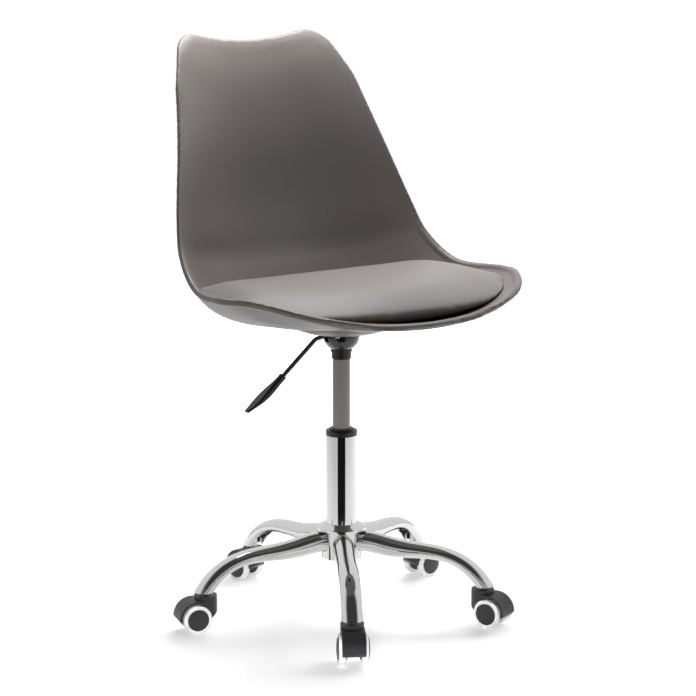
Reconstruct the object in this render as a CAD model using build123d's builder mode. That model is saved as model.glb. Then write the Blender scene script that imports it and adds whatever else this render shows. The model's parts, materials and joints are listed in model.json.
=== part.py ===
"""Swivel desk chair: bucket shell on a gas lift, with a five-star base on twin-wheel casters.

Millimetres. The origin is on the floor under the column's axis, +Z is up and the seat faces -Y.
"""

import os
from math import cos, floor, radians, sin, tan

from build123d import *

# Fits
running_gap = 0.06
body_gap = 0.5
stop_gap = 0.3

# Casters
wheel_diameter = 46
wheel_inner = 10
wheel_width = 15.5
wheel_dome = 1.6
tyre_bore = 34
tyre_inset = 2
tyre_width = 10.5
tyre_round = 2.5
caster_trail = 19
caster_turns = (0, -20, -16, 8, -1)
hood_width = 36
hood_wall = 4.5
hood_room = 1.2
hood_rise = 34
hood_front = 18
hood_front_rise = 9
hood_shoulder = 27
hood_back_cut = 14
hood_web_width = 18
hood_web_radius = 8.5
axle_diameter = 6
axle_cover = 2.5
stem_pin_diameter = 8
stem_pin_length = 27
stem_diameter = 11
stem_collar_diameter = 14
stem_collar_height = 5
stem_reach = 12
stem_chamfer = 1
ring_groove = 0.8
ring_height = 3
ring_slit = 1

# Star base
leg_count = 5
first_leg_angle = -121
caster_radius = 230
leg_drop = 32
leg_width = 33
leg_wall = 2.2
leg_root_height = 32
leg_root_rise = 23.5
leg_channel_length = 62
socket_wall = 2.2
hub_radius = 32
hub_height = 50
hub_flange_radius = 40
hub_flange_lip = 3
hub_flange_rise = 7
hub_flange_edge = 1

# Column and gas lift
column_diameter = 50
column_wall = 2
column_length = 200
column_floor = 3
bush_cap_height = 8
bush_cap_round = 1.5
bush_collar_diameter = 38
bush_collar_height = 3
bush_sleeve_length = 55
lift_stroke = 100
lift_reach = 112
tube_diameter = 28
tube_wall = 2
tube_guide_height = 12
tube_head = 18.5
valve_height = 20
rod_diameter = 10
rod_tail = 4
piston_height = 10
rod_washer_diameter = 20
rod_washer_height = 3
bearing_diameter = 26
bearing_height = 6
bumper_diameter = 26
bumper_height = 13
bumper_round = 3
clip_diameter = 18
clip_height = 1.5
boot_length = 16.5
boot_diameter = 31
boot_flange_diameter = 34
boot_flange_height = 5
boot_round = 1

# Seat plate and its screws
plate_wall = 2.5
plate_radius = 38
cone_height = 25
cone_mouth_radius = 18
cone_land = 2
cone_top_radius = 29
cone_bulge = 4
sleeve_wall = 2.5
sleeve_height = 18
screw_count = 4
screw_first_angle = 45
screw_circle = 67
screw_diameter = 4
screw_head_diameter = 7
screw_head_height = 3
screw_slot = 1.2
insert_diameter = 6.5
insert_length = 10

# Release lever
pin_diameter = 8
pin_rise = 5
pin_length = 8.5
pin_bore_depth = 8
pin_dome = 2
lever_diameter = 7
lever_tip = 4
lever_pivot = -22
lever_exit = -49
lever_lean = 9
lever_slope = 40
lever_bend_radius = 14
lever_rod_length = 98
lever_notch_room = 2
lever_notch_depth = 3
lever_hole_share = 0.55
pivot_diameter = 3.5
bracket_wall = 2
bracket_length = 9
bracket_room = 0.6
paddle_length = 83
paddle_grip = 18
paddle_bend = 7
paddle_width = 20
paddle_thickness = 11
paddle_corner_share = 0.45

# Seat shell
shell_wall = 6
seat_half_width = 266
seat_side_rise = 64
lip_reach = 241
lip_rise = 24
back_foot_y = 200
back_foot_rise = 121
back_foot_half_width = 222
back_wing = 82
back_wing_lead = 33
back_lean = 66
back_rise = 293
back_top_half_width = 152.5
ear_half_width = 134
ear_rise = 22.75
ear_round = 44.75
ear_slant = 24
boss_height = 20
boss_radius = 91
boss_foot_radius = 47
boss_lead = 16
boss_bulge = 3.5
boss_pocket_radius = 28
boss_pocket_depth = 11

# Rows of the seat, as shares of the sizes above: centre line y and rise, rim width, y and rise; curl
seat_rows = (
    (-1.0, 1.0, 0.556, -0.921, 0.547, 1.9),
    (-0.809, 0.58, 0.778, -0.78, 0.828, 2.4),
    (-0.56, 0.33, 0.932, -0.535, 1.03, 3.0),
    (-0.22, 0.0, 1.0, -0.261, 1.0, 3.5),
    (0.52, -0.066, 0.936, 0.12, 1.0, 3.3),
    (0.88, 0.496, 0.882, 0.432, 1.578, 3.0),
)
# Rows of the back: share of its height, wing and wing lead
back_rows = (
    (0.0, 1.0, 1.0),
    (0.46, 0.78, 0.47),
    (0.885, 0.415, 0.3),
    (1.12, 0.05, -0.1),
)
back_curl = 2.4
row_steps = 5
half_columns = 8

# Seat cushion
cushion_front = 199
cushion_bow = 78
cushion_half_width = 262
cushion_rear_half_width = 246
cushion_rear = 112
cushion_front_round = 105
cushion_rear_round = 65
cushion_foot = 17
cushion_height = 48
cushion_step = 2
# Sections of the cushion's border and crown: share of its height and inset in steps
border_rows = ((0.0, 7), (0.35, 0), (0.65, 3.5), (0.82, 12))
crown_rows = ((0.82, 12), (0.94, 24), (1.0, 36))
pan_room = 0.8
board_half_width = 118
board_front = 112
board_rear = 84
board_corner = 60
board_rise = 16
board_wall = 5

os.makedirs("parts", exist_ok=True)


def keep(piece, name):
    """Label a finished piece and write it."""
    piece.part.label = name
    export_step(piece.part, f"parts/{name}.step")


def direction(angle):
    """Unit vector in the floor plane."""
    return Vector(cos(radians(angle)), sin(radians(angle)), 0)


# Heights, from the floor up
axle_z = wheel_diameter / 2
hood_top = axle_z + hood_rise
leg_tip_z = hood_top + stem_collar_height
hub_bottom = leg_tip_z + leg_drop
leg_root_z = hub_bottom + leg_root_rise
hub_top = hub_bottom + hub_height
column_top = hub_bottom + column_length
floor_top = hub_bottom + column_floor
washer_bottom = floor_top + bearing_height + stop_gap
washer_top = washer_bottom + rod_washer_height
tube_bottom = washer_top + bumper_height + stop_gap + lift_stroke
bush_top = column_top + bush_cap_height
boot_bottom = bush_top + bush_collar_height + lift_reach
cone_bottom = boot_bottom + boot_length
tube_top = cone_bottom + tube_head
plate_z = cone_bottom + cone_height
plate_top = plate_z + plate_wall
pan_z = plate_top + boss_height + shell_wall

# Leg, built along +X
column_radius = column_diameter / 2
leg_tip_reach = caster_radius - hub_radius
# Spine of the leg: share of its reach, share of its drop, slope and share of its height
leg_rows = (
    (-0.05, 0.0, 0, 1.0),
    (0.28, 0.06, 2, 0.97),
    (0.5, 0.1, 5, 0.77),
    (0.68, 0.17, 14, 0.70),
    (0.84, 0.4, 30, 0.73),
    (0.97, 0.81, 49, 0.80),
    (1.055, 1.27, 58, 0.82),
)


def leg_bulk(inset):
    """Loft along the leg's spine, drawn in by the inset on every side."""
    with BuildPart() as bulk:
        for reach, drop, slope, height in leg_rows:
            x = hub_radius + leg_tip_reach * reach
            z = leg_root_z - (leg_root_z - leg_tip_z) * drop
            along = Vector(cos(radians(slope)), 0, -sin(radians(slope)))
            with BuildSketch(Plane(origin=(x, 0, z), x_dir=(0, 1, 0), z_dir=along)):
                depth = leg_root_height * height
                Ellipse(leg_width / 2 - inset, depth / 2 - inset)
        loft()
    return bulk.part


leg_outside = leg_bulk(0)
leg_inside = leg_bulk(leg_wall)
with BuildPart() as leg_form:
    add(leg_outside)
    add(leg_inside, mode=Mode.SUBTRACT)
    split(bisect_by=Plane.XY.offset(leg_tip_z))
    with BuildSketch():
        Circle(hub_radius)
    extrude(amount=column_top, mode=Mode.SUBTRACT)
    with BuildSketch(Plane.XZ):
        with BuildLine():
            Polyline(
                (caster_radius - leg_channel_length, leg_tip_z),
                (caster_radius - leg_channel_length, leg_root_z - leg_root_height / 3),
                (caster_radius - stem_diameter, leg_tip_z + stem_reach),
                (caster_radius - socket_wall, leg_tip_z),
                close=True,
            )
        make_face()
    extrude(amount=leg_width / 2 - 2 * leg_wall, both=True, mode=Mode.SUBTRACT)

leg_angles = [first_leg_angle + 360 / leg_count * k for k in range(leg_count)]
for number, angle in enumerate(leg_angles, start=1):
    with BuildPart() as leg:
        with Locations(Location((0, 0, 0), (0, 0, 1), angle)):
            add(leg_form.part)
    keep(leg, f"leg_{number}")

# Sleeves in the leg ends
with BuildPart() as socket_form:
    with BuildSketch(Plane.XY.offset(leg_tip_z)):
        with Locations((caster_radius, 0)):
            Circle(stem_diameter / 2 + socket_wall)
            Circle(stem_diameter / 2, mode=Mode.SUBTRACT)
    extrude(amount=leg_root_height)
    add(leg_inside, mode=Mode.INTERSECT)
with BuildPart() as leg_sockets:
    with PolarLocations(0, leg_count, first_leg_angle):
        add(socket_form.part)
keep(leg_sockets, "leg_sockets")

# Stems that the casters turn on, and the spring rings that hold them in the sockets
stem_top = leg_tip_z + stem_reach
ring_z = leg_tip_z + stem_reach / 2
stem_pin_end = hood_top - stem_pin_length
groove_radius = stem_diameter / 2 - ring_groove
with BuildPart() as stem_form:
    with BuildSketch(Plane.XZ):
        with BuildLine():
            Polyline(
                (0, stem_pin_end),
                (stem_pin_diameter / 2, stem_pin_end),
                (stem_pin_diameter / 2, hood_top + stop_gap),
                (stem_collar_diameter / 2, hood_top + stop_gap),
                (stem_collar_diameter / 2, leg_tip_z),
                (stem_diameter / 2, leg_tip_z),
                (stem_diameter / 2, ring_z),
                (groove_radius, ring_z),
                (groove_radius, ring_z + ring_height),
                (stem_diameter / 2, ring_z + ring_height),
                (stem_diameter / 2, stem_top - stem_chamfer),
                (stem_diameter / 2 - stem_chamfer, stem_top),
                (0, stem_top),
                close=True,
            )
        make_face()
    revolve(axis=Axis.Z)
with BuildPart() as caster_stems:
    with PolarLocations(caster_radius, leg_count, first_leg_angle):
        add(stem_form.part)
keep(caster_stems, "caster_stems")

with BuildPart() as grip_rings:
    with BuildSketch(Plane.XY.offset(ring_z)):
        with PolarLocations(caster_radius, leg_count, first_leg_angle):
            Circle(stem_diameter / 2)
            Circle(groove_radius, mode=Mode.SUBTRACT)
            with Locations((stem_diameter / 2, 0)):
                Rectangle(stem_diameter / 2, ring_slit, mode=Mode.SUBTRACT)
    extrude(amount=ring_height)
keep(grip_rings, "grip_rings")

# Chrome hub with a conical flange on top
with BuildPart() as base_hub:
    with BuildSketch(Plane.XZ):
        with BuildLine():
            Polyline(
                (column_radius, hub_bottom),
                (hub_radius, hub_bottom),
                (hub_radius, hub_top - hub_flange_lip),
                (hub_flange_radius, hub_top - hub_flange_lip),
                (hub_flange_radius, hub_top),
                (column_radius + hub_flange_edge, hub_top + hub_flange_rise),
                (column_radius, hub_top + hub_flange_rise),
                close=True,
            )
        make_face()
    revolve(axis=Axis.Z)
keep(base_hub, "base_hub")

# Caster forms, built on the stem's axis with the wheels trailing along +X
hood_radius = wheel_diameter / 2 + hood_room + hood_wall
hood_length = caster_trail + hood_radius
cavity_radius = wheel_diameter / 2 + hood_room
back_cut_x = caster_trail + cavity_radius * cos(radians(hood_back_cut))
back_cut_z = axle_z - cavity_radius * sin(radians(hood_back_cut))
with BuildPart() as hood_form:
    with BuildSketch(Plane.XZ):
        with BuildLine():
            back = CenterArc((caster_trail, axle_z), hood_radius, 0, 90)
            Polyline(
                back @ 1,
                (0, axle_z + hood_radius),
                (-hood_front, axle_z + hood_shoulder),
                (-hood_front, axle_z + hood_front_rise),
                (caster_trail - cavity_radius, axle_z),
                (caster_trail, axle_z),
                (back_cut_x, back_cut_z),
                back @ 0,
            )
        make_face()
    extrude(amount=hood_width / 2, both=True)
    with BuildSketch():
        Circle(hood_width / 2)
        with Locations((hood_length / 2, 0)):
            Rectangle(hood_length, hood_width)
    extrude(amount=hood_top, mode=Mode.INTERSECT)
    with BuildSketch(Plane.XY.offset(axle_z + hood_front_rise)):
        Circle(hood_width / 2)
    extrude(amount=hood_rise - hood_front_rise)
    with BuildSketch(Plane.XZ):
        with Locations((caster_trail, axle_z)):
            Circle(cavity_radius)
    extrude(amount=hood_width, both=True, mode=Mode.SUBTRACT)
    with BuildSketch(Plane.XZ):
        with BuildLine():
            Polyline(
                (0, axle_z + cavity_radius),
                (0, axle_z + hood_front_rise),
                (caster_trail - hood_web_radius, axle_z),
                (caster_trail + hood_web_radius, axle_z),
                (caster_trail + cavity_radius * cos(radians(45)), axle_z + cavity_radius * sin(radians(45))),
                (caster_trail, axle_z + cavity_radius + hood_room),
                close=True,
            )
        make_face()
        with Locations((caster_trail, axle_z)):
            Circle(hood_web_radius)
    extrude(amount=hood_web_width / 2, both=True)
    with BuildSketch(Plane.XY.offset(stem_pin_end - stop_gap)):
        Circle(stem_pin_diameter / 2 + running_gap)
    extrude(amount=hood_top, mode=Mode.SUBTRACT)
    with BuildSketch(Plane.XZ):
        with Locations((caster_trail, axle_z)):
            Circle(axle_diameter / 2)
    extrude(amount=hood_width, both=True, mode=Mode.SUBTRACT)

axle_end = wheel_inner + wheel_width - axle_cover
with BuildPart() as axle_form:
    with BuildSketch(Plane.XZ):
        with Locations((caster_trail, axle_z)):
            Circle(axle_diameter / 2)
    extrude(amount=axle_end - body_gap, both=True)

wheel_outer = wheel_inner + wheel_width
axle_line = Axis((caster_trail, 0, axle_z), (0, 1, 0))
wheel_plane = Plane(origin=(caster_trail, 0, axle_z), x_dir=(0, 0, 1), z_dir=(1, 0, 0))
axle_bore = axle_diameter / 2 + running_gap
with BuildPart() as wheel_form:
    with BuildSketch(wheel_plane):
        with BuildLine():
            dome = TangentArc((0, wheel_outer), (tyre_bore / 2, wheel_outer - wheel_dome), tangent=(1, 0))
            Polyline(
                dome @ 1,
                (tyre_bore / 2, wheel_inner),
                (axle_bore, wheel_inner),
                (axle_bore, axle_end),
                (0, axle_end),
                dome @ 0,
            )
        make_face()
    revolve(axis=axle_line)

tyre_middle = wheel_inner + tyre_inset + tyre_width / 2
with BuildPart() as tyre_form:
    with BuildSketch(wheel_plane):
        with Locations(((wheel_diameter + tyre_bore) / 4, tyre_middle)):
            Rectangle((wheel_diameter - tyre_bore) / 2, tyre_width)
    revolve(axis=axle_line)
    fillet(tyre_form.edges().filter_by(GeomType.CIRCLE).group_by(SortBy.RADIUS)[-1], tyre_round)

for number, (angle, turn) in enumerate(zip(leg_angles, caster_turns), start=1):
    stand = direction(angle) * caster_radius
    spot = Location((stand.X, stand.Y, 0), (0, 0, 1), angle + turn)
    with BuildPart() as hood:
        with Locations(spot):
            add(hood_form.part)
    keep(hood, f"caster_{number}_hood")
    with BuildPart() as axle:
        with Locations(spot):
            add(axle_form.part)
    keep(axle, f"caster_{number}_axle")
    for form, name in ((wheel_form, "wheel"), (tyre_form, "tyre")):
        with BuildPart() as left_half:
            with Locations(spot):
                add(form.part)
        keep(left_half, f"caster_{number}_left_{name}")
        with BuildPart() as right_half:
            with Locations(spot):
                add(mirror(form.part, about=Plane.XZ, mode=Mode.PRIVATE))
        keep(right_half, f"caster_{number}_right_{name}")

# Chrome column, with the bush that guides the pressure tube
column_bore = column_radius - column_wall
tube_radius = tube_diameter / 2
with BuildPart() as column_tube:
    with BuildSketch(Plane.XY.offset(hub_bottom)):
        Circle(column_radius)
    extrude(amount=column_length)
    with BuildSketch(Plane.XY.offset(floor_top)):
        Circle(column_bore)
    extrude(amount=column_length, mode=Mode.SUBTRACT)
    with BuildSketch(Plane.XY.offset(hub_bottom)):
        Circle(rod_diameter / 2 + running_gap)
    extrude(amount=column_floor, mode=Mode.SUBTRACT)
keep(column_tube, "column_tube")

with BuildPart() as guide_bush:
    with BuildSketch(Plane.XY.offset(column_top)):
        Circle(column_radius)
    extrude(amount=bush_cap_height)
    fillet(guide_bush.edges().group_by(Axis.Z)[-1], bush_cap_round)
    with BuildSketch(Plane.XY.offset(bush_top)):
        Circle(bush_collar_diameter / 2)
    extrude(amount=bush_collar_height)
    with BuildSketch(Plane.XY.offset(column_top)):
        Circle(column_bore)
    extrude(amount=-bush_sleeve_length)
    with BuildSketch(Plane.XY.offset(hub_bottom)):
        Circle(tube_radius + running_gap)
    extrude(amount=bush_top, mode=Mode.SUBTRACT)
keep(guide_bush, "guide_bush")

# Foot of the lift: bearing on the column's floor, rod with washer and piston, rubber stop, clip
with BuildPart() as thrust_bearing:
    with BuildSketch(Plane.XY.offset(floor_top)):
        Circle(bearing_diameter / 2)
        Circle(rod_diameter / 2 + running_gap, mode=Mode.SUBTRACT)
    extrude(amount=bearing_height)
keep(thrust_bearing, "thrust_bearing")

piston_bottom = tube_bottom + tube_guide_height + stop_gap
clip_top = hub_bottom - stop_gap
rod_bottom = clip_top - clip_height - rod_tail
with BuildPart() as piston_rod:
    with BuildSketch(Plane.XY.offset(rod_bottom)):
        Circle(rod_diameter / 2)
    extrude(amount=piston_bottom - rod_bottom)
    with BuildSketch(Plane.XY.offset(washer_bottom)):
        Circle(rod_washer_diameter / 2)
    extrude(amount=rod_washer_height)
    with BuildSketch(Plane.XY.offset(piston_bottom)):
        Circle(tube_radius - tube_wall - running_gap)
    extrude(amount=piston_height)
keep(piston_rod, "piston_rod")

with BuildPart() as lift_bumper:
    with BuildSketch(Plane.XY.offset(washer_top)):
        Circle(bumper_diameter / 2)
        Circle(rod_diameter / 2, mode=Mode.SUBTRACT)
    extrude(amount=bumper_height)
    fillet(lift_bumper.edges().group_by(Axis.Z)[-1].sort_by(SortBy.RADIUS)[-1], bumper_round)
keep(lift_bumper, "lift_bumper")

with BuildPart() as rod_clip:
    with BuildSketch(Plane.XY.offset(clip_top)):
        Circle(clip_diameter / 2)
        Circle(rod_diameter / 2, mode=Mode.SUBTRACT)
        with Locations((clip_diameter / 2, 0)):
            Rectangle(clip_diameter, rod_diameter / 2, mode=Mode.SUBTRACT)
    extrude(amount=-clip_height)
keep(rod_clip, "rod_clip")

# Pressure tube with its valve pin, and the boot under the seat plate
with BuildPart() as pressure_tube:
    with BuildSketch(Plane.XY.offset(tube_bottom)):
        Circle(tube_radius)
    extrude(amount=tube_top - tube_bottom)
    with BuildSketch(Plane.XY.offset(tube_bottom + tube_guide_height)):
        Circle(tube_radius - tube_wall)
    extrude(amount=tube_top - valve_height - tube_bottom - tube_guide_height, mode=Mode.SUBTRACT)
    with BuildSketch(Plane.XY.offset(tube_bottom)):
        Circle(rod_diameter / 2 + running_gap)
    extrude(amount=tube_guide_height, mode=Mode.SUBTRACT)
    with BuildSketch(Plane.XY.offset(tube_top - pin_bore_depth)):
        Circle(pin_diameter / 2 + running_gap)
    extrude(amount=pin_bore_depth, mode=Mode.SUBTRACT)
keep(pressure_tube, "pressure_tube")

pin_top = tube_top + pin_rise
with BuildPart() as release_pin:
    with BuildSketch(Plane.XZ):
        with BuildLine():
            crown = TangentArc((0, pin_top), (pin_diameter / 2, pin_top - pin_dome), tangent=(1, 0))
            Polyline(
                crown @ 1,
                (pin_diameter / 2, pin_top - pin_length),
                (0, pin_top - pin_length),
                crown @ 0,
            )
        make_face()
    revolve(axis=Axis.Z)
keep(release_pin, "release_pin")

with BuildPart() as tube_boot:
    with BuildSketch(Plane.XY.offset(boot_bottom)):
        Circle(boot_diameter / 2)
    extrude(amount=boot_length)
    fillet(tube_boot.edges().group_by(Axis.Z)[0], boot_round)
    with BuildSketch(Plane.XY.offset(cone_bottom)):
        Circle(boot_flange_diameter / 2)
    extrude(amount=-boot_flange_height)
    with BuildSketch(Plane.XY.offset(boot_bottom)):
        Circle(tube_radius)
    extrude(amount=boot_length, mode=Mode.SUBTRACT)
keep(tube_boot, "tube_boot")

# Seat plate: flat flange with a cone round the head of the tube, notched for the lever
sleeve_radius = tube_radius + sleeve_wall
with BuildPart() as cone_room:
    with BuildSketch(Plane.XZ):
        with BuildLine():
            Polyline(
                (0, cone_bottom),
                (sleeve_radius, cone_bottom),
                (sleeve_radius, cone_bottom + cone_land),
                (cone_top_radius - plate_wall, plate_top),
                (0, plate_top),
                close=True,
            )
        make_face()
    revolve(axis=Axis.Z)
with BuildPart() as seat_plate:
    with BuildSketch(Plane.XZ):
        with BuildLine():
            cone = SagittaArc((cone_mouth_radius, cone_bottom), (cone_top_radius, plate_z), -cone_bulge)
            Polyline(
                cone @ 1,
                (plate_radius, plate_z),
                (plate_radius, plate_top),
                (0, plate_top),
                (0, cone_bottom),
                cone @ 0,
            )
        make_face()
    revolve(axis=Axis.Z)
    add(cone_room.part, mode=Mode.SUBTRACT)
    with BuildSketch(Plane.XY.offset(cone_bottom + cone_height / 2)):
        with Locations((-plate_radius, 0)):
            Rectangle(2 * (plate_radius - sleeve_radius), lever_diameter + 2 * lever_notch_room)
    extrude(amount=cone_height, mode=Mode.SUBTRACT)
    with BuildSketch(Plane.XY.offset(plate_z)):
        with PolarLocations(screw_circle / 2, screw_count, screw_first_angle):
            Circle(screw_diameter / 2)
    extrude(amount=plate_wall, mode=Mode.SUBTRACT)
keep(seat_plate, "seat_plate")

with BuildPart() as taper_socket:
    with BuildSketch(Plane.XY.offset(cone_bottom)):
        Circle(sleeve_radius)
        Circle(tube_radius, mode=Mode.SUBTRACT)
    extrude(amount=sleeve_height)
keep(taper_socket, "taper_socket")

# Screws of the seat plate, in threaded inserts
with BuildPart() as plate_screws:
    with BuildSketch(Plane.XY.offset(plate_z)):
        with PolarLocations(screw_circle / 2, screw_count, screw_first_angle):
            Circle(screw_head_diameter / 2)
    extrude(amount=-screw_head_height)
    with BuildSketch(Plane.XY.offset(plate_z - screw_head_height)):
        with PolarLocations(screw_circle / 2, screw_count, screw_first_angle):
            Rectangle(screw_head_diameter, screw_slot)
            Rectangle(screw_slot, screw_head_diameter)
    extrude(amount=screw_slot, mode=Mode.SUBTRACT)
    with BuildSketch(Plane.XY.offset(plate_z)):
        with PolarLocations(screw_circle / 2, screw_count, screw_first_angle):
            Circle(screw_diameter / 2)
    extrude(amount=plate_wall + insert_length)
keep(plate_screws, "plate_screws")

with BuildPart() as shell_inserts:
    with BuildSketch(Plane.XY.offset(plate_top)):
        with PolarLocations(screw_circle / 2, screw_count, screw_first_angle):
            Circle(insert_diameter / 2)
            Circle(screw_diameter / 2, mode=Mode.SUBTRACT)
    extrude(amount=insert_length)
keep(shell_inserts, "shell_inserts")

# Release lever: bent rod over the valve pin, on a pivot between two ears
dome_radius = ((pin_diameter / 2) ** 2 + pin_dome**2) / (2 * pin_dome)
reach_over_pin = (dome_radius + lever_diameter / 2 + stop_gap) / cos(radians(lever_lean))
tip_z = pin_top - dome_radius + reach_over_pin + lever_tip * tan(radians(lever_lean))
pivot_z = tip_z - (lever_tip - lever_pivot) * tan(radians(lever_lean))
exit_z = tip_z - (lever_tip - lever_exit) * tan(radians(lever_lean))
rod_end_x = lever_exit - lever_rod_length * cos(radians(lever_slope))
rod_end_z = exit_z - lever_rod_length * sin(radians(lever_slope))
with BuildPart() as lever_rod:
    with BuildLine(Plane.XZ):
        bent = FilletPolyline(
            (lever_tip, tip_z),
            (lever_exit, exit_z),
            (rod_end_x, rod_end_z),
            radius=lever_bend_radius,
        )
    with BuildSketch(Plane(origin=bent @ 0, z_dir=bent % 0)):
        Circle(lever_diameter / 2)
    sweep()
    with BuildSketch(Plane.XZ):
        with Locations((lever_pivot, pivot_z)):
            Circle(pivot_diameter / 2 + running_gap)
    extrude(amount=lever_diameter, both=True, mode=Mode.SUBTRACT)
keep(lever_rod, "lever_rod")

ear_inner = lever_diameter / 2 + bracket_room
ear_outer = ear_inner + bracket_wall
with BuildPart() as lever_bracket:
    with BuildSketch(Plane.XZ):
        with Locations((lever_pivot, pivot_z)):
            Rectangle(bracket_length, cone_height * 2)
            Circle(pivot_diameter / 2, mode=Mode.SUBTRACT)
    extrude(amount=ear_outer, both=True)
    with BuildSketch(Plane.XZ):
        with Locations((lever_pivot, pivot_z)):
            Rectangle(bracket_length, cone_height * 2)
    extrude(amount=ear_inner, both=True, mode=Mode.SUBTRACT)
    add(cone_room.part, mode=Mode.INTERSECT)
keep(lever_bracket, "lever_bracket")

with BuildPart() as lever_pivot_pin:
    with BuildSketch(Plane.XZ):
        with Locations((lever_pivot, pivot_z)):
            Circle(pivot_diameter / 2)
    extrude(amount=ear_outer, both=True)
keep(lever_pivot_pin, "lever_pivot_pin")

# Paddle moulded on the rod's end: share of its length, width and thickness
paddle_rows = ((0.0, 0.66, 1.0), (0.22, 0.7, 1.0), (0.48, 1.0, 0.95), (0.75, 0.92, 0.6), (1.0, 0.5, 0.4))
rod_out = Vector(-cos(radians(lever_slope)), 0, -sin(radians(lever_slope)))
rod_over = Vector(-sin(radians(lever_slope)), 0, cos(radians(lever_slope)))
paddle_root = Vector(rod_end_x, 0, rod_end_z) - rod_out * paddle_grip
with BuildPart() as lever_paddle:
    for share, width, thickness in paddle_rows:
        middle = paddle_root + rod_out * paddle_length * share + rod_over * paddle_bend * share**2
        with BuildSketch(Plane(origin=middle, x_dir=(0, 1, 0), z_dir=rod_out)):
            wide = paddle_width * width
            thick = paddle_thickness * thickness
            RectangleRounded(wide, thick, thick * paddle_corner_share)
    loft()
    with BuildSketch(Plane(origin=paddle_root, z_dir=rod_out)):
        Circle(lever_diameter / 2)
    extrude(amount=paddle_grip, mode=Mode.SUBTRACT)
keep(lever_paddle, "lever_paddle")


def smooth(values, place):
    """Smooth curve through evenly spaced values, at a place counted in rows."""
    row = min(floor(place), len(values) - 2)
    part = place - row
    before = values[max(row - 1, 0)]
    after = values[min(row + 2, len(values) - 1)]
    start = values[row]
    end = values[row + 1]
    rise_in = (end - before) / 2
    rise_out = (after - start) / 2
    bend = 3 * (end - start) - 2 * rise_in - rise_out
    twist = rise_in + rise_out - 2 * (end - start)
    return start + part * (rise_in + part * (bend + part * twist))


# Bucket surface, from the front lip over the seat and up the back
rows = []
for centre_y, centre_rise, rim_width, rim_y, rim_rise, curl in seat_rows:
    front_y = lip_reach if centre_y < 0 else back_foot_y
    front_rise = lip_rise if centre_y < 0 else back_foot_rise
    rim_length = lip_reach if rim_y < 0 else back_foot_y
    rows.append(
        (
            front_y * centre_y,
            pan_z + front_rise * centre_rise,
            seat_half_width * rim_width,
            rim_length * rim_y,
            pan_z + seat_side_rise * rim_rise,
            curl,
        )
    )
for share, wing, lead in back_rows:
    centre_y = back_foot_y + back_lean * share
    centre_z = pan_z + back_foot_rise + back_rise * share
    rows.append(
        (
            centre_y,
            centre_z,
            back_foot_half_width + (back_top_half_width - back_foot_half_width) * share,
            centre_y - back_wing * wing,
            centre_z + back_wing_lead * lead,
            back_curl,
        )
    )
grid = []
for step in range(row_steps * (len(rows) - 1) + 1):
    centre_y, centre_z, half_width, rim_y, rim_z, curl = (
        smooth(column, step / row_steps) for column in zip(*rows)
    )
    line = []
    for column in range(-half_columns, half_columns + 1):
        across = column / half_columns
        swing = abs(across) ** curl
        y = centre_y + (rim_y - centre_y) * swing
        z = centre_z + (rim_z - centre_z) * swing
        line.append(Vector(half_width * across, y, z))
    grid.append(line)


def skin(depth):
    """Bucket surface, moved out of the seat by the depth."""
    moved = []
    for row, line in enumerate(grid):
        points = []
        for column, point in enumerate(line):
            along = grid[min(row + 1, len(grid) - 1)][column] - grid[max(row - 1, 0)][column]
            across = line[min(column + 1, len(line) - 1)] - line[max(column - 1, 0)]
            points.append(point + along.cross(across).normalized() * depth)
        moved.append(points)
    return Face.make_surface_from_array_of_points(moved)


bucket = skin(0)
bucket_outside = skin(shell_wall)
bucket_edges = [
    Face.make_surface_from_curves(inner, outer)
    for inner, outer in zip(bucket.edges(), bucket_outside.edges())
]

# Outline that trims the bucket's top edge, seen from the front
back_top_z = pan_z + back_foot_rise + back_rise
seat_depth = lip_reach + back_foot_y + back_lean
with BuildPart() as ear_room:
    with BuildSketch(Plane.XZ):
        with BuildLine():
            ears = ThreePointArc(
                (-ear_half_width, back_top_z + ear_rise),
                (0, back_top_z),
                (ear_half_width, back_top_z + ear_rise),
            )
            spread = back_top_z * tan(radians(ear_slant))
            Polyline(
                ears @ 1,
                (ear_half_width + spread, ear_rise),
                (-ear_half_width - spread, ear_rise),
                ears @ 0,
            )
        make_face()
        fillet(vertices().group_by(Axis.Y)[-1], ear_round)
    extrude(amount=seat_depth, both=True)

# Shell with its mounting boss, which ends inside the pan's wall
with BuildPart() as boss_form:
    with BuildSketch(Plane.XZ):
        with BuildLine():
            dome = SagittaArc(
                (boss_foot_radius, plate_top),
                (boss_radius, plate_top + boss_lead),
                -boss_bulge,
            )
            Polyline(
                dome @ 1,
                (boss_radius, pan_z + shell_wall),
                (0, pan_z + shell_wall),
                (0, plate_top + boss_pocket_depth),
                (boss_pocket_radius, plate_top + boss_pocket_depth),
                (boss_pocket_radius, plate_top),
                dome @ 0,
            )
        make_face()
    revolve(axis=Axis.Z)
    with BuildSketch(Plane.XY.offset(plate_top)):
        with PolarLocations(screw_circle / 2, screw_count, screw_first_angle):
            Circle(insert_diameter / 2)
    extrude(amount=insert_length, mode=Mode.SUBTRACT)
    with BuildSketch(Plane.XY.offset(plate_top)):
        with Locations((-boss_foot_radius, 0)):
            Rectangle(2 * (boss_foot_radius - sleeve_radius), lever_diameter + 2 * lever_notch_room)
    extrude(amount=lever_notch_depth, both=True, mode=Mode.SUBTRACT)
    split(bisect_by=bucket.moved(Location((0, 0, -shell_wall / 2))), keep=Keep.TOP)

with BuildPart() as seat_shell:
    add(Solid(Shell([bucket, bucket_outside, *bucket_edges])))
    add(ear_room.part, mode=Mode.INTERSECT)
    add(boss_form.part)
keep(seat_shell, "seat_shell")

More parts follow.
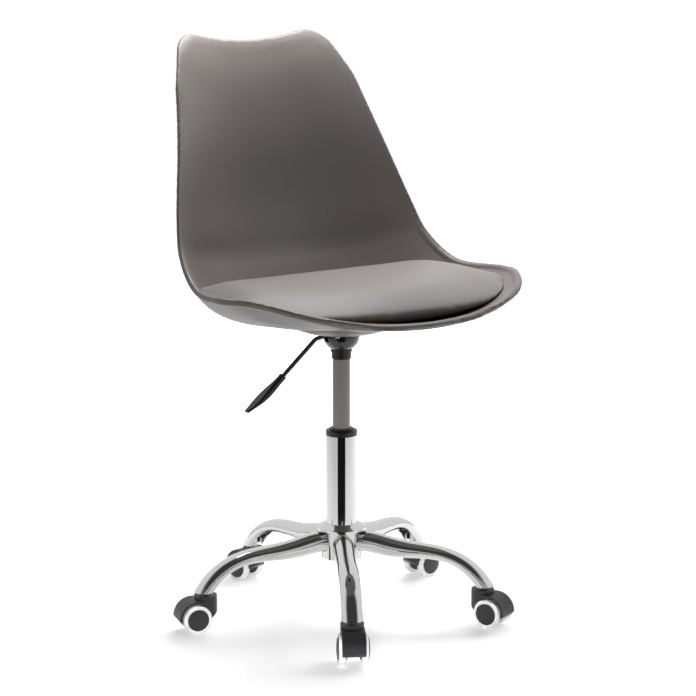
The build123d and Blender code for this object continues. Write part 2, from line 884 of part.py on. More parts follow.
# Board under the pad
board_z = pan_z + board_rise
with BuildPart() as cushion_board:
    with BuildSketch(Plane.XY.offset(board_z)):
        with Locations((0, (board_rear - board_front) / 2)):
            RectangleRounded(2 * board_half_width, board_front + board_rear, board_corner)
    extrude(amount=board_wall)
keep(cushion_board, "cushion_board")

# Padded cushion, resting on the pan: a drawn-in border and a crown on top of it
cushion_plane = Plane.XY.offset(pan_z + cushion_foot)
with BuildPart() as seat_cushion:
    for cushion_rows in (border_rows, crown_rows):
        for share, steps in cushion_rows:
            inset = cushion_step * steps
            with BuildSketch(cushion_plane.offset(cushion_height * share)):
                with BuildLine():
                    front_corner = cushion_bow - cushion_front
                    brow = ThreePointArc(
                        (inset - cushion_half_width, front_corner + inset),
                        (0, inset - cushion_front),
                        (cushion_half_width - inset, front_corner + inset),
                    )
                    Polyline(
                        brow @ 1,
                        (cushion_rear_half_width - inset, cushion_rear - inset),
                        (inset - cushion_rear_half_width, cushion_rear - inset),
                        brow @ 0,
                    )
                make_face()
                shrink = 1 - inset / cushion_rear_half_width
                fillet(vertices().group_by(Axis.Y)[-1], cushion_rear_round * shrink)
                fillet(vertices().group_by(Axis.Y)[0], cushion_front_round * shrink)
        loft()
    split(bisect_by=bucket.moved(Location((0, 0, pan_room))), keep=Keep.BOTTOM)
    add(cushion_board.part, mode=Mode.SUBTRACT)
keep(seat_cushion, "seat_cushion")
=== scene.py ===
# %% [markdown]
# # A swivel desk chair
# The chair has a moulded shell with a padded seat, a gas lift in a chrome column and a star base on
# casters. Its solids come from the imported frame, in metres, with the floor at z = 0 and the seat
# facing -Y. Most of them keep their shape here and only get a finish. The shell and the cushion are
# made again, because a rolled plastic edge and a stuffed pad are softer than any solid.

# %% Load the frame
import json
from math import ceil, cos, radians, sin, tan

import bmesh
import bpy
import numpy as np
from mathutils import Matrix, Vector
from mathutils.bvhtree import BVHTree
from mathutils.kdtree import KDTree


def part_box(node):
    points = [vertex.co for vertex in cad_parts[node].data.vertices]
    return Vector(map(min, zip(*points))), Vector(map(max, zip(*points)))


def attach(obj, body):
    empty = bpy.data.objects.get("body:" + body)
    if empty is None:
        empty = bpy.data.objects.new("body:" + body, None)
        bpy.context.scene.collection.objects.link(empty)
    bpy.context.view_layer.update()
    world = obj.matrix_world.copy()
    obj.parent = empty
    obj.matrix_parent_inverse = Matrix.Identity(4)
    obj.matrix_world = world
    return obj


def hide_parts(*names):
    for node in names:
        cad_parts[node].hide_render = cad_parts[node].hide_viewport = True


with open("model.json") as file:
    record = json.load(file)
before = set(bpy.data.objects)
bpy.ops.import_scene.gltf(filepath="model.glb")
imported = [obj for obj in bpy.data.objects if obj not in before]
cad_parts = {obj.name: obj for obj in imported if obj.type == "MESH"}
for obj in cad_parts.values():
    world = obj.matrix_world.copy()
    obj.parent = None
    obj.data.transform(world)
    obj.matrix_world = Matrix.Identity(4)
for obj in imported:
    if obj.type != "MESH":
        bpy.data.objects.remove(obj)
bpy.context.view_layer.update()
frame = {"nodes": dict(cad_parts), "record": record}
nodes = frame["nodes"]

# %% [markdown]
# ## Small tools for the materials
# Colours are easiest to judge as 8-bit values on a screen, while shaders want linear light, so one
# helper converts them. The others start a node group or a material, add a node with all its inputs, or
# let a height mask disturb the normal. Every finish below is then a few lines long.

# %% Helpers for colours, groups and materials
def screen(red, green, blue):
    """A colour read off a screen, as linear light."""
    def linear(value):
        share = value / 255
        return share / 12.92 if share <= 0.04045 else ((share + 0.055) / 1.055) ** 2.4
    return (linear(red), linear(green), linear(blue), 1.0)


def start_group(name, inputs, outputs):
    """A new shader node group with float or colour sockets, and its input and output nodes."""
    group = bpy.data.node_groups.new(name, "ShaderNodeTree")
    for socket, kind, value in inputs:
        made = group.interface.new_socket(socket, in_out="INPUT", socket_type=kind)
        made.default_value = value
    for socket, kind in outputs:
        group.interface.new_socket(socket, in_out="OUTPUT", socket_type=kind)
    entry = group.nodes.new("NodeGroupInput")
    leave = group.nodes.new("NodeGroupOutput")
    return group, entry, leave


def add_node(tree, kind, links=(), **values):
    """A node whose inputs are set by number or linked from other sockets, in one call."""
    node = tree.nodes.new(kind)
    for key, value in values.items():
        setattr(node, key, value)
    for socket, source in links:
        if isinstance(source, bpy.types.NodeSocket):
            tree.links.new(source, node.inputs[socket])
        else:
            node.inputs[socket].default_value = source
    return node


def start_material(name, **constants):
    """A material with a Principled shader, whose even values are set on the shader itself."""
    material = bpy.data.materials.new(name)
    material.use_nodes = True
    shader = material.node_tree.nodes["Principled BSDF"]
    for socket, value in constants.items():
        shader.inputs[socket.replace("_", " ")].default_value = value
    return material, material.node_tree, shader


def add_bump(tree, shader, height, depth):
    """Lets a height mask of the given depth in metres disturb the shader's normal."""
    bump = add_node(tree, "ShaderNodeBump", [("Height", height), ("Distance", depth)])
    tree.links.new(bump.outputs["Normal"], shader.inputs["Normal"])


FLOAT = "NodeSocketFloat"
COLOUR = "NodeSocketColor"
print("helpers ready")

# %% [markdown]
# ## Effects that several finishes share
# Moulded plastic has a fine etched grain and slightly uneven tone. Polished and painted metal has
# faint wipe marks, which show only in its gloss. Steel that was drawn or turned has fine lines along
# one direction. Each effect is a node group, so that a material only chooses its own scale and
# strength. All of them read object coordinates in metres, so no surface needs to be unwrapped.

# %% The moulded grain group
grain, enter, leave = start_group(
    "moulded_grain",
    [("Colour", COLOUR, (0.5, 0.5, 0.5, 1)), ("Unevenness", FLOAT, 0.1), ("Grain per metre", FLOAT, 700),
     ("Gloss from", FLOAT, 0.4), ("Gloss to", FLOAT, 0.55)],
    [("Colour", COLOUR), ("Roughness", FLOAT), ("Height", FLOAT)],
)
clouds_per_metre = 7.0
place = add_node(grain, "ShaderNodeTexCoord")
cloud = add_node(grain, "ShaderNodeTexNoise", [
    ("Vector", place.outputs["Object"]), ("Scale", clouds_per_metre), ("Detail", 3.0)])
pits = add_node(grain, "ShaderNodeTexNoise", [
    ("Vector", place.outputs["Object"]), ("Scale", enter.outputs["Grain per metre"]), ("Detail", 2.0)])
shade = add_node(grain, "ShaderNodeMath", [(0, cloud.outputs[0]), (1, 0.5)], operation="SUBTRACT")
amount = add_node(grain, "ShaderNodeMath", [(0, shade.outputs[0]), (1, enter.outputs["Unevenness"])],
                  operation="MULTIPLY")
value = add_node(grain, "ShaderNodeMath", [(0, amount.outputs[0]), (1, 1.0)], operation="ADD")
tone = add_node(grain, "ShaderNodeHueSaturation", [
    ("Color", enter.outputs["Colour"]), ("Value", value.outputs[0])])
gloss = add_node(grain, "ShaderNodeMapRange", [
    ("Value", cloud.outputs[0]), ("From Min", 0.3), ("From Max", 0.7),
    ("To Min", enter.outputs["Gloss from"]), ("To Max", enter.outputs["Gloss to"])])
grain.links.new(tone.outputs["Color"], leave.inputs["Colour"])
grain.links.new(gloss.outputs["Result"], leave.inputs["Roughness"])
grain.links.new(pits.outputs[0], leave.inputs["Height"])
print("group:", grain.name)

# %% The wipe mark group
wipes, enter, leave = start_group(
    "wipe_marks",
    [("Marks per metre", FLOAT, 30), ("Gloss from", FLOAT, 0.04), ("Gloss to", FLOAT, 0.1)],
    [("Roughness", FLOAT), ("Mask", FLOAT)],
)
place = add_node(wipes, "ShaderNodeTexCoord")
smear = add_node(wipes, "ShaderNodeTexNoise", [
    ("Vector", place.outputs["Object"]), ("Scale", enter.outputs["Marks per metre"]),
    ("Detail", 5.0), ("Distortion", 1.5)])
gloss = add_node(wipes, "ShaderNodeMapRange", [
    ("Value", smear.outputs[0]), ("From Min", 0.35), ("From Max", 0.7),
    ("To Min", enter.outputs["Gloss from"]), ("To Max", enter.outputs["Gloss to"])])
wipes.links.new(gloss.outputs["Result"], leave.inputs["Roughness"])
wipes.links.new(smear.outputs[0], leave.inputs["Mask"])
print("group:", wipes.name)

# %% The drawn line group
lines, enter, leave = start_group(
    "drawn_lines",
    [("Lines per metre", FLOAT, 1500), ("Stretch", FLOAT, 0.02),
     ("Gloss from", FLOAT, 0.2), ("Gloss to", FLOAT, 0.4)],
    [("Roughness", FLOAT), ("Height", FLOAT)],
)
place = add_node(lines, "ShaderNodeTexCoord")
split = add_node(lines, "ShaderNodeSeparateXYZ", [("Vector", place.outputs["Object"])])
along = add_node(lines, "ShaderNodeMath", [
    (0, split.outputs["Z"]), (1, enter.outputs["Stretch"])], operation="MULTIPLY")
drawn = add_node(lines, "ShaderNodeCombineXYZ", [
    ("X", split.outputs["X"]), ("Y", split.outputs["Y"]), ("Z", along.outputs[0])])
hairs = add_node(lines, "ShaderNodeTexNoise", [
    ("Vector", drawn.outputs["Vector"]), ("Scale", enter.outputs["Lines per metre"]), ("Detail", 3.0)])
gloss = add_node(lines, "ShaderNodeMapRange", [
    ("Value", hairs.outputs[0]), ("From Min", 0.3), ("From Max", 0.7),
    ("To Min", enter.outputs["Gloss from"]), ("To Max", enter.outputs["Gloss to"])])
lines.links.new(gloss.outputs["Result"], leave.inputs["Roughness"])
lines.links.new(hairs.outputs[0], leave.inputs["Height"])
print("group:", lines.name)

# %% [markdown]
# ## Plastics and rubber
# The shell is warm grey polypropylene with a fine matt grain. The hoods, wheel discs, bushes and the
# lever's paddle are nearly black nylon, a little glossier. The tyres are nearly white polyurethane. One
# function makes them all from the moulded grain group, each with its own colour, scale and gloss.

# %% Moulded finishes
def moulded(name, colour, unevenness, grain_per_metre, gloss, depth):
    """A plastic or rubber with moulded grain."""
    material, tree, shader = start_material(name)
    mould = add_node(tree, "ShaderNodeGroup", node_tree=grain, links=[
        ("Colour", colour), ("Unevenness", unevenness), ("Grain per metre", grain_per_metre),
        ("Gloss from", gloss[0]), ("Gloss to", gloss[1])])
    tree.links.new(mould.outputs["Colour"], shader.inputs["Base Color"])
    tree.links.new(mould.outputs["Roughness"], shader.inputs["Roughness"])
    add_bump(tree, shader, mould.outputs["Height"], depth)
    return material


shell_plastic = moulded("shell_plastic", screen(116, 110, 107), 0.10, 900, (0.40, 0.45), 0.00006)
black_nylon = moulded("black_nylon", screen(16, 15, 15), 0.20, 800, (0.34, 0.46), 0.00005)
caster_nylon = moulded("caster_nylon", screen(36, 36, 38), 0.20, 700, (0.36, 0.50), 0.00006)
wheel_nylon = moulded("wheel_nylon", screen(38, 38, 40), 0.25, 700, (0.32, 0.46), 0.00005)
tyre_rubber = moulded("tyre_rubber", screen(238, 238, 237), 0.10, 500, (0.42, 0.58), 0.00006)
bumper_rubber = moulded("bumper_rubber", screen(30, 30, 30), 0.20, 400, (0.65, 0.80), 0.00010)
print("moulded finishes: 6")

# %% [markdown]
# ## Metals
# The base and the column are chrome plated: a mirror with hardly any roughness, so it is the room
# that gives it its look. The gas lift's tube is painted satin grey and the seat plate gloss black.
# Screws, pins and rods are zinc plated steel with drawn lines, and the inserts are turned brass.

# %% Chrome and painted metal
chrome, tree, shader = start_material("chrome_plate", Base_Color=screen(205, 206, 205), Metallic=1.0)
marks = add_node(tree, "ShaderNodeGroup", node_tree=wipes, links=[("Gloss from", 0.03), ("Gloss to", 0.09)])
tree.links.new(marks.outputs["Roughness"], shader.inputs["Roughness"])


peel_depth = 0.00002


def painted(name, colour, gloss, coat):
    """A gloss paint with wipe marks and a fine orange peel, under a clear coat."""
    material, tree, shader = start_material(name, Coat_Weight=coat, Coat_Roughness=0.08)
    marks = add_node(tree, "ShaderNodeGroup", node_tree=wipes, links=[
        ("Marks per metre", 45), ("Gloss from", gloss[0]), ("Gloss to", gloss[1])])
    orange_peel = add_node(tree, "ShaderNodeGroup", node_tree=grain, links=[
        ("Colour", colour), ("Grain per metre", 350)])
    tree.links.new(orange_peel.outputs["Colour"], shader.inputs["Base Color"])
    tree.links.new(marks.outputs["Roughness"], shader.inputs["Roughness"])
    add_bump(tree, shader, orange_peel.outputs["Height"], peel_depth)
    return material


tube_paint = painted("tube_paint", screen(140, 134, 127), (0.30, 0.32), 0.1)
plate_paint = painted("plate_paint", screen(14, 13, 12), (0.16, 0.26), 0.5)
lever_paint = painted("lever_paint", screen(26, 26, 26), (0.22, 0.34), 0.3)
print("chrome and 3 paints")

# %% Bare metal
def drawn(name, colour, lines_per_metre, gloss, depth):
    """A bare metal with fine lines along z."""
    material, tree, shader = start_material(name, Base_Color=colour, Metallic=1.0)
    hair = add_node(tree, "ShaderNodeGroup", node_tree=lines, links=[
        ("Lines per metre", lines_per_metre), ("Gloss from", gloss[0]), ("Gloss to", gloss[1])])
    tree.links.new(hair.outputs["Roughness"], shader.inputs["Roughness"])
    add_bump(tree, shader, hair.outputs["Height"], depth)
    return material


zinc_steel = drawn("zinc_steel", screen(196, 197, 199), 1500, (0.18, 0.36), 0.00002)
turned_brass = drawn("turned_brass", screen(206, 172, 104), 2200, (0.22, 0.40), 0.00002)
print("bare metals: 2")

# %% [markdown]
# ## Plywood
# The board under the pad is birch plywood. Only its edge could ever be seen, so thin plies through
# the thickness are enough. A wave texture along z gives the plies.

# %% Plywood
plies_per_metre = 180.0
ply_depth = 0.00010
birch_ply, tree, shader = start_material("birch_ply", Roughness=0.7)
place = add_node(tree, "ShaderNodeTexCoord")
plies = add_node(tree, "ShaderNodeTexWave", [
    ("Vector", place.outputs["Object"]), ("Scale", plies_per_metre), ("Distortion", 1.2), ("Detail", 2.0)],
    bands_direction="Z")
ply_tones = add_node(tree, "ShaderNodeValToRGB", [("Fac", plies.outputs["Fac"])])
ply_tones.color_ramp.elements[0].color = screen(168, 132, 92)
ply_tones.color_ramp.elements[1].color = screen(206, 176, 132)
tree.links.new(ply_tones.outputs["Color"], shader.inputs["Base Color"])
add_bump(tree, shader, plies.outputs["Fac"], ply_depth)
print("plywood ready")

# %% [markdown]
# ## Artificial leather
# The pad is covered in grey artificial leather: rounded grain cells about a millimetre across, soft
# creases between them, and a faint cloudiness. A Voronoi texture gives the cells, and two noises give
# the creases and the clouds. Sheen is even over the cover, so it is set on the shader.

# %% Cushion cover
warps_per_metre = 160.0
warp_share = 0.012
cells_per_metre = 620.0
creases_per_metre = 34.0
crease_share = 2.2
leather_depth = 0.00016
cover_leather, tree, shader = start_material("cover_leather", Sheen_Weight=0.08, Sheen_Roughness=0.5)
place = add_node(tree, "ShaderNodeTexCoord")
warp = add_node(tree, "ShaderNodeTexNoise", [
    ("Vector", place.outputs["Object"]), ("Scale", warps_per_metre), ("Detail", 2.0)])
bent = add_node(tree, "ShaderNodeMixRGB", [
    (0, warp_share), (1, place.outputs["Object"]), (2, warp.outputs["Color"])])
cells = add_node(tree, "ShaderNodeTexVoronoi", [
    ("Vector", bent.outputs[0]), ("Scale", cells_per_metre), ("Smoothness", 0.6)], feature="SMOOTH_F1")
creases = add_node(tree, "ShaderNodeTexNoise", [
    ("Vector", place.outputs["Object"]), ("Scale", creases_per_metre), ("Detail", 4.0), ("Distortion", 0.6)])
cover = add_node(tree, "ShaderNodeGroup", node_tree=grain, links=[
    ("Colour", screen(118, 113, 111)), ("Unevenness", 0.08), ("Gloss from", 0.44), ("Gloss to", 0.54)])
relief = add_node(tree, "ShaderNodeMath", [
    (0, creases.outputs[0]), (1, crease_share), (2, cells.outputs["Distance"])], operation="MULTIPLY_ADD")
tree.links.new(cover.outputs["Colour"], shader.inputs["Base Color"])
tree.links.new(cover.outputs["Roughness"], shader.inputs["Roughness"])
add_bump(tree, shader, relief.outputs[0], leather_depth)
print("cover ready")

# %% [markdown]
# ## Finishes for the solids
# Every solid names a material slot in the frame's record. The slots are matched with the finishes
# here, so that a solid gets the right one however many copies of it the chair has.

# %% Give each solid its finish
finishes = {
    "shell": shell_plastic, "cushion": cover_leather, "board": birch_ply, "insert": turned_brass,
    "seat_plate": plate_paint, "steel": zinc_steel, "lever": lever_paint, "black_plastic": black_nylon,
    "lift_tube": tube_paint, "bumper": bumper_rubber, "chrome": chrome, "caster": caster_nylon,
    "wheel": wheel_nylon, "tyre": tyre_rubber,
}
for subpart in frame["record"]["subparts"]:
    solid = nodes[subpart["node"]]
    solid.data.materials.clear()
    solid.data.materials.append(finishes[subpart["material_slot"]])

# %% [markdown]
# ## The moulded shell
# Round the seat, the shell's edge is a thick rounded lip that catches a soft line of light. Higher up
# the back's edge is thin, and curls away from the sitter. The solid has a plain square edge all
# round. It could be bevelled and swept with a bead, but the edge runs through many small triangles. A
# voxel remesh with some smoothing rounds it evenly, and keeps the broad surfaces where they are. Near
# the seat's edge the points then move out along their normals. In the back they move forward instead,
# by nothing at the edge and by most in the middle, so that the outline stays where it is.

# %% Round the shell's edges
def copied(node, name):
    """A free copy of a solid's mesh, under a new name."""
    piece = bpy.data.objects.new(name, nodes[node].data.copy())
    bpy.context.scene.collection.objects.link(piece)
    return piece


def add_modifier(piece, kind, **settings):
    """A modifier with its settings, in one call."""
    modifier = piece.modifiers.new(kind.lower(), kind)
    for key, value in settings.items():
        setattr(modifier, key, value)
    return modifier


def settle(piece):
    """Replaces a piece's mesh by the result of its modifiers, and removes them."""
    evaluated = piece.evaluated_get(bpy.context.evaluated_depsgraph_get())
    mesh = bpy.data.meshes.new_from_object(evaluated)
    piece.modifiers.clear()
    piece.data = mesh
    mesh.polygons.foreach_set("use_smooth", [True] * len(mesh.polygons))
    mesh.update()


shell_voxel = 0.0022
shell_passes = 8
moulding = copied("seat_shell", "shell_moulding")
add_modifier(moulding, "REMESH", mode="VOXEL", voxel_size=shell_voxel)
add_modifier(moulding, "SMOOTH", factor=0.5, iterations=shell_passes)
settle(moulding)
print("shell:", len(moulding.data.polygons), "faces")

# %% Find the middle of the rim
rim_lowest = 0.495
rim_spacing = 0.002
rim_width = 0.009
sharp_turn = radians(50)
same_point = 0.00001


def sharp_points(mesh):
    """Points along the sharp edges of the rim, which lies above the boss."""
    form = bmesh.new()
    form.from_mesh(mesh)
    bmesh.ops.remove_doubles(form, verts=form.verts, dist=same_point)
    points = []
    for edge in form.edges:
        start, end = (corner.co for corner in edge.verts)
        if min(start.z, end.z) > rim_lowest and edge.calc_face_angle(0) > sharp_turn:
            steps = ceil(edge.calc_length() / rim_spacing)
            points += [start.lerp(end, step / steps) for step in range(steps)]
    form.free()
    return points


def tree_of(points):
    """A tree that finds near points quickly."""
    tree = KDTree(len(points))
    for index, point in enumerate(points):
        tree.insert(point, index)
    tree.balance()
    return tree


edge_points = sharp_points(nodes["seat_shell"].data)
edge_tree = tree_of(edge_points)
rim_middle = []
for point in edge_points:
    near = [found[0] for found in edge_tree.find_range(point, rim_width)]
    rim_middle.append(sum(near, Vector()) / len(near))
rim_tree = tree_of(rim_middle)
print("rim:", len(rim_middle), "points")

# %% Swell the lip
def points_of(mesh):
    """A mesh's points as rows of an array."""
    flat = np.empty(3 * len(mesh.vertices))
    mesh.vertices.foreach_get("co", flat)
    return flat.reshape(-1, 3)


def normals_of(mesh):
    """The normals at a mesh's points as rows of an array."""
    flat = np.empty(3 * len(mesh.vertices))
    mesh.vertex_normals.foreach_get("vector", flat)
    return flat.reshape(-1, 3)


def move_points(mesh, points):
    """Puts a mesh's points where the rows of an array say."""
    mesh.vertices.foreach_set("co", points.ravel())
    mesh.update()


def ease(values, low, high):
    """0 below low, 1 above high and a soft ramp between them."""
    share = np.clip((values - low) / (high - low), 0, 1)
    return share * share * (3 - 2 * share)


lip_swell = 0.0024
lip_rise = (0.0030, 0.0062)
lip_fall = (0.0075, 0.0150)
back_from = (0.56, 0.64)
shell_points = points_of(moulding.data)
from_rim = np.array([rim_tree.find(point)[2] for point in shell_points])
bead = ease(from_rim, *lip_rise) * (1 - ease(from_rim, *lip_fall))
swell = lip_swell * (1 - ease(shell_points[:, 2], *back_from))
moved = shell_points + (bead * swell)[:, None] * normals_of(moulding.data)
print("lip:", int((bead > 0.5).sum()), "points moved out")

# %% Curl the back's edge away from the sitter
def averaged(values, mesh, passes):
    """A value per point of a mesh, averaged with those of its neighbours a number of times."""
    ends = np.array([edge.vertices[:] for edge in mesh.edges])
    counts = np.bincount(ends.ravel(), minlength=len(values))
    for turn in range(passes):
        values = np.bincount(ends.ravel(), values[ends[:, ::-1]].ravel(), len(values)) / counts
    return values


curl_passes = 200
curl_depth = 0.016
curl_reach = 0.080
curl_from, curl_to = 0.62, 0.80
inner = 1 - np.clip(from_rim / curl_reach, 0, 1)
curl = (1 - inner * inner) * ease(moved[:, 2], curl_from, curl_to)
curl += (averaged(curl, moulding.data, curl_passes) - curl) * ease(from_rim, 0, curl_reach / 3)
moved[:, 1] -= curl_depth * curl
move_points(moulding.data, moved)
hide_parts("seat_shell")
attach(moulding, "seat")
print("curl:", round(1000 * float(curl_depth * curl.max()), 1), "mm deep")

# %% [markdown]
# ## The padded seat
# The pad is foam under a stretched cover. It fills the bucket nearly to the lip and swells above it,
# with a full, round front. The solid is remeshed and smoothed first, so that nothing of its facets is
# left. It then grows sideways until it nearly meets the shell, most of all in front, and its border
# is rounded off. Last, cloth with a little pressure inside stuffs it. Its upper part is free to move,
# and only the swelling is kept from the cloth, because a tight cover has none of its small folds.

# %% Even out the pad
pad_voxel = 0.005
pad_passes = 12
pad_softness = 2.0
pad_gap = 0.0015
pad_low, pad_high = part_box("seat_cushion")
pad_height = pad_high.z - pad_low.z
pad = copied("seat_cushion", "padded_seat")
add_modifier(pad, "REMESH", mode="VOXEL", voxel_size=pad_voxel)
add_modifier(pad, "LAPLACIANSMOOTH", iterations=pad_passes, lambda_factor=pad_softness)
settle(pad)
print("pad:", len(pad.data.vertices), "points")

# %% Let it fill the bucket
fill_steps = 6
fill_passes = 6
fill_back = 0.3
fill_step = 0.003
fill_from = pad_low.z + 0.10 * pad_height
fill_to = pad_low.z + 0.35 * pad_height
shell_tree = BVHTree.FromObject(moulding, bpy.context.evaluated_depsgraph_get())


def clear_of_shell(points):
    """Points that are too near the shell, moved back to the gap that the pad keeps from it."""
    kept = points.copy()
    for index, point in enumerate(points):
        place, normal, _, _ = shell_tree.find_nearest(Vector(point))
        if (Vector(point) - place).dot(normal) < pad_gap:
            kept[index] = place + pad_gap * normal
    return kept


for step in range(fill_steps):
    here = points_of(pad.data)
    sideways = normals_of(pad.data) * (1, 1, 0)
    frontness = fill_back + (1 - fill_back) * ease(-here[:, 1], -pad_high.y, -pad_low.y)
    push = (fill_step * frontness * ease(here[:, 2], fill_from, fill_to))[:, None] * sideways
    move_points(pad.data, clear_of_shell(here + push))
add_modifier(pad, "LAPLACIANSMOOTH", iterations=fill_passes)
settle(pad)
print("pad width:", round(float(np.ptp(points_of(pad.data)[:, 0])), 3), "m")

# %% Round its border off
border_reach = 0.060
border_tilt = 0.35
border_drop = 0.006
front_drop = 0.010
here = points_of(pad.data)
upright = np.abs(normals_of(pad.data)[:, 2]) < border_tilt
outline = tree_of([Vector((x, y, 0)) for x, y, _ in here[upright]])
inset = np.array([outline.find((x, y, 0))[2] for x, y, _ in here])
near_border = 1 - np.clip(inset / border_reach, 0, 1)
upper = ease(here[:, 2], fill_from, pad_high.z)
drop = border_drop + (front_drop - border_drop) * ease(-here[:, 1], -pad_high.y, -pad_low.y)
here[:, 2] -= drop * near_border * near_border * upper
move_points(pad.data, here)
print("border lowered by up to", round(1000 * float(drop.max()), 1), "mm")

# %% Stuff it
pad_swell_limit = 0.006
pad_start_inset = 0.003
pad_pressure = 4.0
pad_frames = 20
free_from = pad_low.z + 0.7 * pad_height
swell_passes = 60
rest = points_of(pad.data)
freedom = ease(rest[:, 2], fill_to, free_from)[:, None]
outward = normals_of(pad.data)
start = rest - pad_start_inset * freedom * outward
move_points(pad.data, start)
held = pad.vertex_groups.new(name="held")
for index in np.flatnonzero(freedom[:, 0] == 0):
    held.add([int(index)], 1.0, "REPLACE")
stuffing = add_modifier(pad, "CLOTH")
stuffing.settings.use_pressure = True
stuffing.settings.uniform_pressure_force = pad_pressure
stuffing.settings.effector_weights.gravity = 0
stuffing.settings.vertex_group_mass = "held"
stuffing.point_cache.frame_end = pad_frames
for step in range(1, pad_frames + 1):
    bpy.context.scene.frame_set(step)
settle(pad)
bpy.context.scene.frame_set(1)
swelling = ((points_of(pad.data) - start) * outward).sum(axis=1)
swelling = np.clip(swelling, 0, pad_swell_limit)
swelling = averaged(swelling, pad.data, swell_passes)
move_points(pad.data, start + freedom * swelling[:, None] * outward)
pad.vertex_groups.clear()
print("pad: most swell", round(1000 * float(swelling.max()), 1), "mm")

# %% Finish the pad
last_turns = 3
last_passes = 8
for turn in range(last_turns):
    move_points(pad.data, clear_of_shell(points_of(pad.data)))
    add_modifier(pad, "SMOOTH", iterations=last_passes)
    settle(pad)
add_modifier(pad, "SUBSURF", levels=1, render_levels=1)
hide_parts("seat_cushion")
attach(pad, "seat")
print("pad top at", round(float(points_of(pad.data)[:, 2].max()), 4), "m")

# %% [markdown]
# ## Floor and room
# The chair stands on a white studio floor under a white sky. Both look white to the camera, and round
# the chair the floor glows a little less, so that it keeps the chair's shadow. Matt surfaces get
# little light from the sky, which leaves them to the lamps. Mirrors see a sky with a dark part above
# the camera, and a black card on the floor in front: chrome needs something dark to show its form.

# %% The camera's place
camera_turn = radians(35)
camera_distance = 3.5183
camera_height = 1.1394
camera_pan = radians(0.169)
camera_tilt = radians(11.348)
focal_pixels = 2282.2
image_pixels = 696
sensor = 36.0


def on_camera_side(x, y, z):
    """A point given with y pointing from the camera to the chair, in the chair's frame."""
    turned = (x * cos(camera_turn) + y * sin(camera_turn), y * cos(camera_turn) - x * sin(camera_turn))
    return Vector((*turned, z))


camera = bpy.data.objects.new("camera", bpy.data.cameras.new("camera"))
bpy.context.scene.collection.objects.link(camera)
camera.location = on_camera_side(0, -camera_distance, camera_height)
look = on_camera_side(
    sin(camera_pan) * cos(camera_tilt), cos(camera_pan) * cos(camera_tilt), -sin(camera_tilt))
camera.rotation_euler = look.to_track_quat("-Z", "Y").to_euler()
camera.data.sensor_width = sensor
camera.data.lens = focal_pixels * sensor / image_pixels
bpy.context.scene.camera = camera
print("camera at", [round(value, 3) for value in camera.location], "lens", round(camera.data.lens, 1))

# %% Floor and sky
def flat_piece(name, corners):
    """A flat piece of the stage."""
    mesh = bpy.data.meshes.new(name)
    mesh.from_pydata(corners, [], [tuple(range(len(corners)))])
    piece = bpy.data.objects.new(name, mesh)
    bpy.context.scene.collection.objects.link(piece)
    return piece


floor_reach = 15.0
glow_near, glow_far = 0.42, 1.0
glow_mirrored = 0.35
shadow_near, shadow_far = 0.5, 1.3
floor = flat_piece("floor", [(-floor_reach, -floor_reach, 0), (floor_reach, -floor_reach, 0),
                             (floor_reach, floor_reach, 0), (-floor_reach, floor_reach, 0)])
floor_white, tree, shader = start_material(
    "floor_white", Base_Color=screen(246, 246, 246), Roughness=0.9, Specular_IOR_Level=0.0,
    Emission_Color=(1, 1, 1, 1))
place = add_node(tree, "ShaderNodeTexCoord")
off_centre = add_node(tree, "ShaderNodeVectorMath", [(0, place.outputs["Object"])], operation="LENGTH")
whiteness = add_node(tree, "ShaderNodeMapRange", [
    ("Value", off_centre.outputs["Value"]), ("From Min", shadow_near), ("From Max", shadow_far),
    ("To Min", glow_near), ("To Max", glow_far)])
path = add_node(tree, "ShaderNodeLightPath")
mirrored = add_node(tree, "ShaderNodeMath", [
    (0, path.outputs["Is Glossy Ray"]), (1, path.outputs["Is Transmission Ray"])], operation="MAXIMUM")
in_mirrors = add_node(tree, "ShaderNodeMath", [
    (0, mirrored.outputs[0]), (1, glow_mirrored)], operation="MULTIPLY")
glow = add_node(tree, "ShaderNodeMath", [
    (0, path.outputs["Is Camera Ray"]), (1, whiteness.outputs["Result"]), (2, in_mirrors.outputs[0])],
    operation="MULTIPLY_ADD")
tree.links.new(glow.outputs[0], shader.inputs["Emission Strength"])
floor.data.materials.append(floor_white)
print("white floor:", 2 * floor_reach, "m across")

# %% Sky with a dark side
sky_light = 0.95
dark_height = radians(55)
dark_core = radians(34)
dark_edge = radians(58)
dark_depth = 0.94
matt_share = 0.08
sky = bpy.data.worlds.new("sky")
bpy.context.scene.world = sky
sky.use_nodes = True
tree = sky.node_tree
toward_dark = on_camera_side(0, -cos(dark_height), sin(dark_height))
heading = add_node(tree, "ShaderNodeTexCoord")
facing = add_node(tree, "ShaderNodeVectorMath", [(0, heading.outputs["Generated"]), (1, toward_dark)],
                  operation="DOT_PRODUCT")
dark = add_node(tree, "ShaderNodeMapRange", [
    ("Value", facing.outputs["Value"]), ("From Min", cos(dark_edge)), ("From Max", cos(dark_core)),
    ("To Min", sky_light), ("To Max", sky_light * (1 - dark_depth))], interpolation_type="SMOOTHSTEP")
path = add_node(tree, "ShaderNodeLightPath")
dimmed = add_node(tree, "ShaderNodeMath", [
    (0, dark.outputs["Result"]), (1, matt_share)], operation="MULTIPLY")
room = add_node(tree, "ShaderNodeMix", [
    (0, path.outputs["Is Glossy Ray"]), (2, dimmed.outputs[0]), (3, dark.outputs["Result"])])
level = add_node(tree, "ShaderNodeMix", [(0, path.outputs["Is Camera Ray"]), (2, room.outputs[0]), (3, 1.0)])
tree.links.new(level.outputs[0], tree.nodes["Background"].inputs["Strength"])
tree.nodes["Background"].inputs["Color"].default_value = (1, 1, 1, 1)
print("sky is dark towards", [round(value, 2) for value in toward_dark])

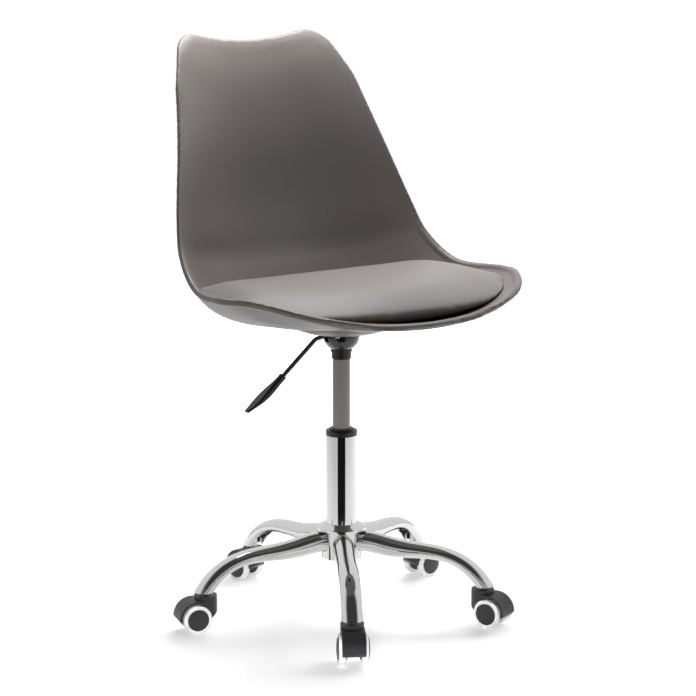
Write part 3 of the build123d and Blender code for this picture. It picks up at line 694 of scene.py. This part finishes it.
# %% A black card on the floor, which only mirror rays see
card_black, tree, shader = start_material("card_black", Base_Color=screen(30, 30, 31), Roughness=1.0,
                                          Specular_IOR_Level=0.0)
path = add_node(tree, "ShaderNodeLightPath")
clear = add_node(tree, "ShaderNodeBsdfTransparent")
seen = add_node(tree, "ShaderNodeMixShader", [
    (0, path.outputs["Is Glossy Ray"]), (1, clear.outputs[0]), (2, shader.outputs[0])])
tree.links.new(seen.outputs[0], tree.nodes["Material Output"].inputs["Surface"])
card_spread = tan(radians(28))
card_near = 0.5
card_far = 6.0
card_lift = 0.002
near, far = card_near * card_spread, card_far * card_spread
card = flat_piece("floor_card", [
    on_camera_side(-near, -card_near, card_lift), on_camera_side(near, -card_near, card_lift),
    on_camera_side(far, -card_far, card_lift), on_camera_side(-far, -card_far, card_lift)])
card.data.materials.append(card_black)
print("floor card from", card_near, "to", card_far, "m")

# %% [markdown]
# ## Light
# Five soft lamps light the chair, broad enough that no shadow has a hard edge. The first hangs low
# over the seat, so that its light grazes the back, strong at the top and weak at the foot. Two stand
# behind, for the rims and the floor. Two weak ones stand in front, one for the outside of the bucket
# and one with a narrow beam for the base. Mirrors see the first one only, or the chrome would burn out.

# %% Soft lights
def soft_light(name, place, size, power, aim_height=0.5, spread=180, mirrored=False):
    """A square lamp that points at the chair's axis, and that only mirrors may see."""
    lamp = bpy.data.lights.new(name, "AREA")
    lamp.shape = "SQUARE"
    lamp.size = size
    lamp.energy = power
    lamp.spread = radians(spread)
    piece = bpy.data.objects.new(name, lamp)
    bpy.context.scene.collection.objects.link(piece)
    piece.location = place
    aim = Vector((0, 0, aim_height)) - place
    piece.rotation_euler = aim.to_track_quat("-Z", "Y").to_euler()
    piece.visible_camera = False
    piece.visible_glossy = mirrored


soft_light("top_light", on_camera_side(-0.1, 0.24, 1.42), 0.55, 11, mirrored=True)
soft_light("back_light", on_camera_side(0.5, 2.2, 2.2), 1.4, 46)
soft_light("back_right_light", on_camera_side(2.0, 1.6, 1.8), 1.2, 46)
soft_light("low_light", on_camera_side(0.0, -2.6, 0.4), 0.8, 4)
soft_light("base_light", on_camera_side(-0.2, -1.9, 0.25), 0.5, 1.6, aim_height=-0.15, spread=32)
bpy.context.scene.view_settings.view_transform = "Standard"
print("soft lights: 5")
